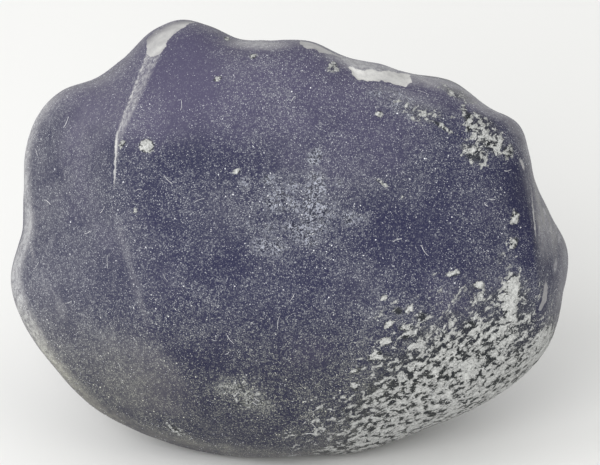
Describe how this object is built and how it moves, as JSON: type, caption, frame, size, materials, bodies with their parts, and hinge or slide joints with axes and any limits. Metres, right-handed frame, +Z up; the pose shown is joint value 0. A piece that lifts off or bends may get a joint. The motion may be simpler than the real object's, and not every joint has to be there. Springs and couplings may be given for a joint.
{
  "type": "fluorite crystal",
  "caption": "Dark violet fluorite crystal rounded by dissolving, with a ridge, chipped edges and a chalky crust, resting on a flat underside.",
  "frame": {"origin": "middle of the bounding box at the level of the flat underside", "axes": "+Z up, +X to the right along the crystal's length as seen from the front, and the broad front faces -Y"},
  "size_m": [0.05, 0.0334, 0.0383],
  "materials": {
    "fluorite": "frosted"
  },
  "bodies": {
    "root": {"fluorite_crystal": "fluorite"}
  },
  "joints": []
}
